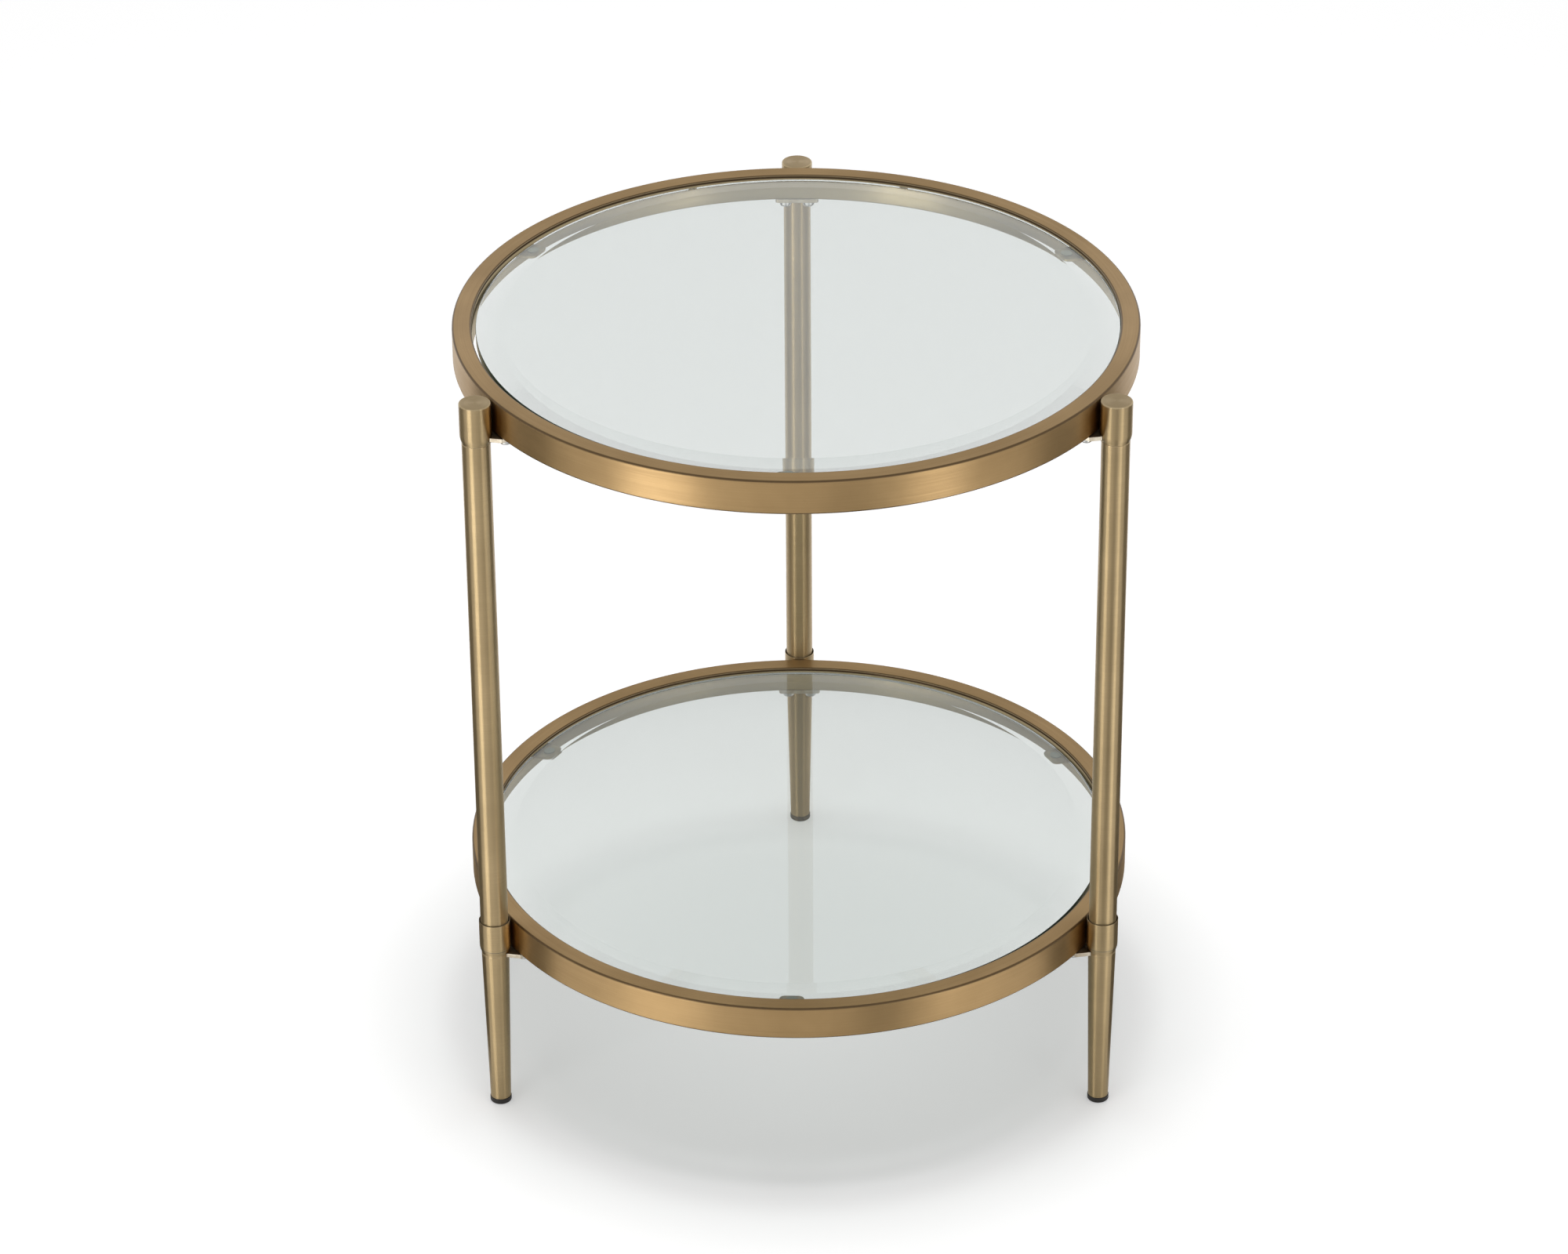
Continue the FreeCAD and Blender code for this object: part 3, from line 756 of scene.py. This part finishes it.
# %% Main tubes
tube_wall = 1.2 * mm
post_pieces("tube", "post_tube",
            [(post_radius - tube_wall, tube_bottom), (post_radius, tube_bottom),
             (post_radius, cap_seam), (post_radius - tube_wall, cap_seam)],
            seam_edge, True)

# %% [markdown]
# ## The lower sleeves
# The sleeve is a turned cup. The tube stands in its open mouth, and its lower end draws in like that of the
# cap. A boolean could hollow it out, but a hollow that is part of the outline keeps the thin rim clean. The
# inside of the mouth is marked as dark, because hardly any light reaches it.

# %% Lower sleeves
mouth_wall = 0.25 * mm
mouth_edge = 0.1 * mm
stud_hole = 4.3 * mm
sleeve_neck = 1.1 * mm
sleeve_half_taper = 3.15 * mm
sleeve_radius = box_radius("mid_sleeve_back")
sleeve_seam, sleeve_mouth = box_heights("mid_sleeve_back")
socket_radius = sleeve_radius - mouth_wall
sleeve_neck_top = sleeve_seam + sleeve_neck
sleeve_taper_middle = sleeve_neck_top + sleeve_half_taper
post_pieces("sleeve", "mid_sleeve",
            [(stud_hole, sleeve_seam), (post_radius, sleeve_seam), (post_radius, sleeve_neck_top),
             (sleeve_radius, sleeve_taper_middle), (sleeve_radius, sleeve_mouth),
             (socket_radius, sleeve_mouth), (socket_radius, tube_bottom), (stud_hole, tube_bottom)],
            [seam_edge, seam_edge, neck_edge, taper_bend, mouth_edge, mouth_edge, neck_edge, neck_edge],
            True, shade=lambda outline: ((outline[:, 1] > sleeve_taper_middle)
                                         & (outline[:, 0] < socket_radius + neck_edge)) * gap_shade)

# %% [markdown]
# ## The tapered legs
# The leg is a tube that was drawn down to a narrow tip. Its taper is straight, so four corners of the wall
# are the whole outline, and the lathe does the rest.

# %% Tapered legs
leg_tip = 7.0 * mm
leg_wall = 1.2 * mm
leg_bottom, leg_top = box_heights("tapered_leg_back")
post_pieces("leg", "tapered_leg",
            [(leg_tip - leg_wall, leg_bottom), (leg_tip, leg_bottom),
             (post_radius, leg_top), (post_radius - leg_wall, leg_top)],
            seam_edge, True)

# %% [markdown]
# ## The feet
# A black moulded glide is pushed into the end of each leg. Its tread is a little wider than the leg and is
# rounded where it meets the floor. The hidden stem is part of the same outline.

# %% Foot glides
stem_clearance = 0.15 * mm
foot_edges = np.array([0, 1.2, 0.4, 0.2, 1.0, 0]) * mm
foot_bottom, stem_top = box_heights("foot_glide_back")
tread_radius = box_radius("foot_glide_back")
stem_radius = leg_tip - leg_wall - stem_clearance
post_pieces("foot", "foot_glide",
            [(0, foot_bottom), (tread_radius, foot_bottom), (tread_radius, leg_bottom),
             (stem_radius, leg_bottom), (stem_radius, stem_top), (0, stem_top)],
            foot_edges, False, foot_plastic)

# %% [markdown]
# ## The brackets
# A flat plate under the hoop joins each post to it. Its inner end has rounded corners, its shoulders slant
# to a narrow neck, and the neck is coped round the post, which means cut to the same circle.
# The cope is found by dropping the path points inside that circle and closing the outline with an arc.

# %% Brackets
path_step = 0.3 * mm
path_margin = path_step / 3
plate_edge = 0.35 * mm
plate_inset = 0.6 * mm
shoulder_inset = 0.5 * mm
neck_length = 4.5 * mm
half_neck = 9.0 * mm
half_plate = 15.0 * mm
plate_corners = np.array([0, 0.4, 0.4, 2, 2, 0.4, 0.4, 0]) * mm
cope_radii = {"upper": 10.65 * mm, "lower": 9.6 * mm}
post_distance = np.linalg.norm(post_places["back"] - hoop_axis)
post_angles = {side: math.atan2(*(place - hoop_axis)[::-1]) for side, place in post_places.items()}


def mirrored_path(half, radii):
    """Even path along half of an outline and back along its mirror image, with rounded corners."""
    corners = np.concatenate([half, half[::-1] * (1, -1)])
    return even_path(rounded(corners, radii, False)[0], path_step)


def bracket_outline(cope_radius):
    """Outline of a bracket along the x axis, anticlockwise from the post."""
    half = np.array([(post_distance, half_neck), (post_distance - neck_length, half_neck),
                     (hoop_radius - shoulder_inset, half_plate), (hoop_bore + plate_inset, half_plate)])
    path = mirrored_path(half, plate_corners)
    from_post = np.linalg.norm(path - (post_distance, 0), axis=1)
    kept = path[from_post > cope_radius + path_margin]
    half_cope = math.atan2(kept[0, 1], post_distance - kept[0, 0])
    cope = np.linspace(-half_cope, half_cope, int(2 * half_cope * cope_radius / path_step))
    arc = np.stack([post_distance - cope_radius * np.cos(cope), cope_radius * np.sin(cope)], axis=-1)
    return np.concatenate([kept, arc])


middle_inset = 1.8 * mm
bracket_middle = (hoop_bore + middle_inset, 0)
for tier in tiers:
    for side, angle in post_angles.items():
        node_name = tier + "_bracket_" + side
        bracket = plate(tier + "_plate_" + side, bracket_outline(cope_radii[tier]), bracket_middle,
                        *box_heights(node_name), plate_edge, angle)
        finish_piece(bracket, plate_brass, "frame", [node_name])

# %% [markdown]
# ## The lugs
# Three lugs inside each hoop carry the glass. A lug is a plate as well: its root follows the hoop's bore and
# its free end has wide rounded corners, so the path is cut along the bore, like a bracket at its post.

# %% Lugs
lug_degrees = {"front": 268.8, "right": 28.8, "left": 148.8}
lug_angles = {side: math.radians(angle) for side, angle in lug_degrees.items()}
lug_reach = 13.0 * mm
lug_corner = 4.0 * mm
half_root = 10.0 * mm
half_tip = 8.0 * mm
root_overrun = 1.0 * mm
root_gap = 0.1 * mm
root_radius = hoop_bore - root_gap


def lug_outline():
    """Outline of a lug along the x axis, anticlockwise from its root."""
    half = np.array([(hoop_bore + root_overrun, half_root), (hoop_bore - lug_reach, half_tip)])
    path = mirrored_path(half, lug_corner)
    kept = path[np.linalg.norm(path, axis=1) < root_radius - path_margin]
    half_angle = math.asin(kept[0, 1] / root_radius)
    root = np.linspace(-half_angle, half_angle, int(2 * half_angle * root_radius / path_step))
    return np.concatenate([kept, root_radius * np.stack([np.cos(root), np.sin(root)], axis=-1)])


lug_middle = (hoop_bore - lug_reach / 2, 0)
for tier in tiers:
    for side, angle in lug_angles.items():
        node_name = tier + "_glass_tab_" + side
        lug = plate(tier + "_lug_" + side, lug_outline(), lug_middle, *box_heights(node_name),
                    plate_edge, angle)
        finish_piece(lug, lug_brass, "frame", [node_name])

# %% [markdown]
# ## The pads
# A small clear disc on each lug keeps glass and metal apart. The three discs of a tier are one set, so the
# lathe turns the same outline at three places and joins them in one mesh.

# %% Pads under the glass
pad_turns = 64
pad_radius = 4.0 * mm
pad_clearance = 0.03 * mm
pad_edges = np.array([0, 0.1, 0.3, 0]) * mm
pad_places = [hoop_axis + lug_middle[0] * np.array([math.cos(angle), math.sin(angle)])
              for angle in lug_angles.values()]
for tier in tiers:
    pad_bottom, pad_face = box_heights(tier + "_glass_pads")
    pad_top = pad_face - pad_clearance
    pads = lathe(tier + "_pads",
                 [(0, pad_bottom), (pad_radius, pad_bottom), (pad_radius, pad_top), (0, pad_top)],
                 pad_edges, pad_places, pad_turns, False)
    finish_piece(pads, clear_pad, "frame", [tier + "_glass_pads"])

# %% [markdown]
# ## The screws
# Two cap-head screws hold each bracket to its hoop. The head is turned with a domed rim, and the hexagon
# socket is punched into it. The lathe makes the whole screw; only the socket's columns are stretched to a
# hexagon.

# %% Screws
screw_turns = 48
head_radius = 4.3 * mm
head_height = 4.4 * mm
screw_radius = 2.5 * mm
socket_flat = 1.5 * mm
socket_depth = 2.2 * mm
screw_edges = np.array([0, 0.05, 0.2, 2.0, 0.15, 0.05, 0.4, 0]) * mm
screw_pitch = 16.2 * mm
screw_distance = (hoop_bore + hoop_radius) / 2
screw_offsets = np.array([[screw_distance, -screw_pitch / 2, 0], [screw_distance, screw_pitch / 2, 0]])
screw_places = np.concatenate([turned_about(screw_offsets, angle, hoop_axis)[:, :2]
                               for angle in post_angles.values()])
socket_points = 2 * (arc_steps + 3)
for tier in tiers:
    screw_face, screw_tip = box_heights(tier + "_bracket_screws")
    seat = screw_face + head_height
    socket_floor = screw_face + socket_depth
    profile, rim = rounded([(0, socket_floor), (socket_flat, socket_floor), (socket_flat, screw_face),
                            (head_radius, screw_face), (head_radius, seat), (screw_radius, seat),
                            (screw_radius, screw_tip), (0, screw_tip)], screw_edges, False)
    hexness = np.zeros(len(profile))
    hexness[1:1 + socket_points] = 1
    grids = [revolved(profile, place, screw_turns, hexness) for place in screw_places]
    screws = grid_mesh(tier + "_screws", grids, np.linspace(0, 2 * np.pi, screw_turns + 1),
                       outline_lengths(profile, False), {"edge": rim, "shade": hexness})
    finish_piece(screws, zinc, "frame", [tier + "_bracket_screws"])

# %% [markdown]
# ## The welds
# Each bracket is welded to its post and each lug to its hoop, from below, where the beads hardly show.
# A bead against the curved neck of the cap leans with it, which is the second number of each post weld.

# %% Welds
weld_leg = 2.0 * mm
post_welds = {"upper": (10.13 * mm, -0.265), "lower": (9.556 * mm, -0.02)}
post_weld_sweep = math.radians(120)
post_weld_ripples = 9
lug_weld_length = 16.0 * mm
lug_weld_sweep = lug_weld_length / hoop_bore
lug_weld_ripples = 8
section = bead_section(weld_leg)
for tier in tiers:
    corner, lean = post_welds[tier]
    weld_top = box_heights(tier + "_bracket_welds")[1]
    beads = [bead_grid(section, post_places[side], corner, 1, lean, weld_top, angle + math.pi,
                       post_weld_sweep, post_weld_ripples) for side, angle in post_angles.items()]
    welds = bead_mesh(tier + "_post_beads", section, beads, post_weld_sweep * corner)
    finish_piece(welds, weld_brass, "frame", [tier + "_bracket_welds"])
    weld_top = box_heights(tier + "_tab_welds")[1]
    beads = [bead_grid(section, hoop_axis, root_radius, -1, 0.0, weld_top, angle, lug_weld_sweep,
                       lug_weld_ripples) for angle in lug_angles.values()]
    welds = bead_mesh(tier + "_lug_beads", section, beads, lug_weld_sweep * root_radius)
    finish_piece(welds, lug_brass, "frame", [tier + "_tab_welds"])

# %% [markdown]
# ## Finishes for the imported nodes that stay
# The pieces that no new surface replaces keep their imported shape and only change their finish.

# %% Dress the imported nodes
node_finishes = {"post_brass": plate_brass, "hoop_brass": lug_brass, "zinc_screw": zinc,
                 "inner_steel": inner_steel, "foot_plastic": foot_plastic, "clear_pad": clear_pad,
                 "clear_glass": pane_glass}
slots_of_nodes = {part["node"]: part["material_slot"] for part in frame["record"]["subparts"]}
for name, packed in frame["nodes"].items():
    packed.data.materials.clear()
    packed.data.materials.append(node_finishes[slots_of_nodes[name]])
print("Dressed", len(frame["nodes"]), "packed nodes")

# %% [markdown]
# ## The floor
# The table stands on a white sweep. Plain light would leave the paper grey, so the floor also glows for the
# rays that show it, and for them alone. The level depends on the distance from the table and on how the
# floor is seen: directly, mirrored in metal or through a pane. Directly and in metal it is lower near the
# table, which keeps the table's shadow and paints more shade round it, and seen directly a little more glow
# paints light under the middle. Through a pane it is higher near the table, which paints light into the
# shadow.

# %% Floor
floor_reach = 20.0
floor_tone = (0.82, 0.82, 0.82)


def stage_quad(name, corners, height):
    """Flat piece of the stage at a height, from its four corners seen from above."""
    mesh = bpy.data.meshes.new(name)
    mesh.from_pydata([(x, y, height) for x, y in corners], [], [(0, 1, 2, 3)])
    quad = bpy.data.objects.new(name, mesh)
    bpy.context.collection.objects.link(quad)
    return quad


floor = stage_quad("floor", floor_reach * np.array([(-1, -1), (1, -1), (1, 1), (-1, 1)]), 0.0)
floor_material, floor_tree, floor_shader, floor_output = new_material("floor_white")
fill(floor_tree, floor_shader, {"Base Color": floor_tone, "Roughness": 1.0, "Specular IOR Level": 0.0})
floor.data.materials.append(floor_material)
print("Floor", floor.name)

# %% [markdown]
# ## The glow of the floor
# Each glow runs between two distances from the middle of the table, in metres, and has a level at either
# end. A Map Range node does that, and Mix nodes then choose between the glows by the kind of ray.

# %% Glow of the floor
# Painted shade: the near and mirrored glows are lower by the table. Painted light: the middle glow and the
# glow through a pane are higher under it.
glow_stops = {"far": (0.9, 4.0, 0.0, 0.17), "near": (0.2, 0.31, 0.24, 0.42),
              "middle": (0.05, 0.2, 0.1, 0.0), "mirrored": (0.15, 0.45, 0.0, 0.42),
              "through_painted_light": (0.2, 0.42, 0.52, 0.20), "through_far": (0.45, 0.8, 0.0, 0.11)}
half_bounce = 0.5


def seen_rays(tree):
    """1 for rays that show the background: camera, glossy and transmission rays."""
    rays = node(tree, "ShaderNodeLightPath")
    mirrored = maths(tree, "MAXIMUM", rays.outputs["Is Glossy Ray"], rays.outputs["Is Transmission Ray"])
    return maths(tree, "MAXIMUM", rays.outputs["Is Camera Ray"], mirrored)


floor_place = node(floor_tree, "ShaderNodeTexCoord").outputs["Object"]
floor_distance = node(floor_tree, "ShaderNodeVectorMath", {"operation": "LENGTH"}, i0=floor_place)
glow = {title: scaled(floor_tree, floor_distance.outputs["Value"], *stops)
        for title, stops in glow_stops.items()}
seen_glow = maths(floor_tree, "ADD", glow["near"], glow["middle"])
through_glow = maths(floor_tree, "ADD", glow["through_painted_light"], glow["through_far"])
floor_rays = node(floor_tree, "ShaderNodeLightPath")
near_level = node(floor_tree, "ShaderNodeMix", None, i0=floor_rays.outputs["Is Glossy Ray"],
                  i2=seen_glow, i3=glow["mirrored"])
unmirrored = maths(floor_tree, "LESS_THAN", floor_rays.outputs["Glossy Depth"], half_bounce)
through_glass = maths(floor_tree, "MULTIPLY", floor_rays.outputs["Is Transmission Ray"], unmirrored)
ray_level = node(floor_tree, "ShaderNodeMix", None, i0=through_glass, i2=near_level.outputs[0],
                 i3=through_glow)
floor_level = maths(floor_tree, "ADD", ray_level.outputs[0], glow["far"])
floor_glow = node(floor_tree, "ShaderNodeEmission", None,
                  strength=maths(floor_tree, "MULTIPLY", seen_rays(floor_tree), floor_level))
floor_sum = node(floor_tree, "ShaderNodeAddShader", None, i0=floor_shader.outputs[0],
                 i1=floor_glow.outputs[0])
fill(floor_tree, floor_output, {"Surface": floor_sum.outputs[0]})
print("Floor glows:", ", ".join(glow))

# %% [markdown]
# ## The room around the table
# Metal and glass show what is around them, so an empty world would turn them black. A gradient from bright
# walls to a dimmer ceiling stands in for the studio. The walls that are seen are a little brighter than
# the light that they give, which keeps the background white without lighting the table more.

# %% World: bright walls and a dimmer ceiling
wall_light = 0.72
ceiling_light = 0.24
wall_seen = 1.0
ceiling_seen = 0.72
seen_rise_low = 0.05
seen_rise_high = 0.7
world = bpy.data.worlds.new("studio")
bpy.context.scene.world = world
world.use_nodes = True
sky = world.node_tree
sky.nodes.clear()
direction = node(sky, "ShaderNodeTexCoord").outputs["Generated"]
rise = node(sky, "ShaderNodeSeparateXYZ", None, i0=direction).outputs["Z"]
ambient = scaled(sky, rise, 0.0, 1.0, wall_light, ceiling_light)
shown = scaled(sky, rise, seen_rise_low, seen_rise_high, wall_seen, ceiling_seen)
level = node(sky, "ShaderNodeMix", None, i0=seen_rays(sky), i2=ambient, i3=shown).outputs[0]
background = node(sky, "ShaderNodeBackground", None, color=white, strength=level)
fill(sky, sky.nodes.new("ShaderNodeOutputWorld"), {"Surface": background.outputs[0]})
print("World", world.name)

# %% [markdown]
# ## The softboxes
# Two low softboxes at the front corners draw the long highlights on the posts and the hoops. They stay near
# the floor, so that the panes don't mirror them to someone behind the table. A wide one overhead makes the
# shadow fall straight down; reflections don't show it, as it would lie on the glass as a white square.

# %% Softboxes
table_middle = (0.0, hoop_axis[1], 0.3)
top_place = (0.0, hoop_axis[1], 3.2)
top_size = 1.0
top_power = 43.0


def softbox(name, place, width, height, power):
    """Rectangular area lamp that looks from its place to the middle of the table."""
    lamp = bpy.data.lights.new(name, "AREA")
    lamp.shape = "RECTANGLE"
    lamp.size = width
    lamp.size_y = height
    lamp.energy = power
    holder = bpy.data.objects.new(name, lamp)
    backward = Vector(place) - Vector(table_middle)
    facing = backward.to_track_quat("Z", "Y").to_matrix().to_4x4()
    holder.matrix_world = Matrix.Translation(place) @ facing
    holder.visible_camera = False
    holder.visible_transmission = False
    bpy.context.collection.objects.link(holder)
    return holder


def around(azimuth, distance, height):
    """Place at an angle to the right of the camera, seen from the table."""
    turn = math.radians(azimuth)
    return (distance * math.sin(turn), hoop_axis[1] - distance * math.cos(turn), height)


softbox("softbox_left", around(azimuth=-41, distance=1.6, height=0.235), width=0.65, height=0.45, power=4.5)
softbox("softbox_right", around(azimuth=41, distance=2.6, height=0.3), width=0.65, height=0.55, power=3.6)
top_light = softbox("softbox_top", top_place, top_size, top_size, top_power)
top_light.visible_glossy = False
print("Softboxes placed")

# %% [markdown]
# ## Cards on the floor
# Shiny things are often photographed with cards laid round them, because their look comes from what they
# mirror. Dark cards at the sides give the posts dark rims, grey ones in front darken the middle of the
# posts, and two pale wedges brighten the highlights inside the hoops. Only reflections see the cards.

# %% Cards on the floor
black = (0.0, 0.0, 0.0)
card_height = 2.0 * mm
side_corners = ((0.26, -0.13), (2.2, -0.3), (2.2, 1.4), (0.26, 0.2))
front_corners = ((0.12, -0.35), (0.12, -1.0), (0.36, -1.0), (0.36, -0.35))
middle_corners = ((-0.12, -0.62), (-0.12, -1.0), (0.12, -1.0), (0.12, -0.62))
wedge_corners = ((0.30, -0.39), (0.80, -1.15), (1.15, -0.90), (0.42, -0.28))
cards = {"card_left": (-1, side_corners, 0.04), "card_right": (1, side_corners, 0.04),
         "card_front": (1, front_corners, 0.12), "card_middle": (1, middle_corners, 0.4),
         "wedge_left": (-1, wedge_corners, 1.8), "wedge_right": (1, wedge_corners, 1.8)}
for name, (side, card_corners, card_level) in cards.items():
    card = stage_quad(name, [(side * x, y) for x, y in card_corners], card_height)
    card_material, card_tree, card_shader, _ = new_material(name)
    fill(card_tree, card_shader, {"Base Color": black, "Specular IOR Level": 0.0,
                                  "Emission Color": white, "Emission Strength": card_level})
    card.data.materials.append(card_material)
    card.visible_camera = False
    card.visible_diffuse = False
    card.visible_shadow = False
    card.visible_transmission = False
print("Cards placed:", ", ".join(cards))

# %% [markdown]
# ## The camera
# The photograph was taken from about thirty degrees above the table with a long lens. These values come
# from fitting the two hoops, the posts and the feet to where they lie in the picture. The camera is carried
# out from the hoops' axis and tilted, as a chain of turns and shifts.

# %% Camera
camera_turn = 0.00777
camera_drop = 0.52835
camera_roll = -0.00678
camera_offset = np.array([-9.404, -3287.279, 2228.200]) * mm
turned = Matrix.Rotation(camera_turn, 4, "Z")
tilted = Matrix.Rotation(math.pi / 2 - camera_drop, 4, "X") @ Matrix.Rotation(camera_roll, 4, "Z")
camera = bpy.data.objects.new("camera", bpy.data.cameras.new("camera"))
camera.data.sensor_width = 36.0
camera.data.lens = 127.45
camera.matrix_world = (Matrix.Translation((*hoop_axis, 0)) @ turned @ Matrix.Translation(camera_offset)
                       @ tilted)
bpy.context.collection.objects.link(camera)
scene = bpy.context.scene
scene.camera = camera
scene.view_settings.view_transform = "Standard"
print("Camera at", [round(value, 3) for value in camera.matrix_world.translation])
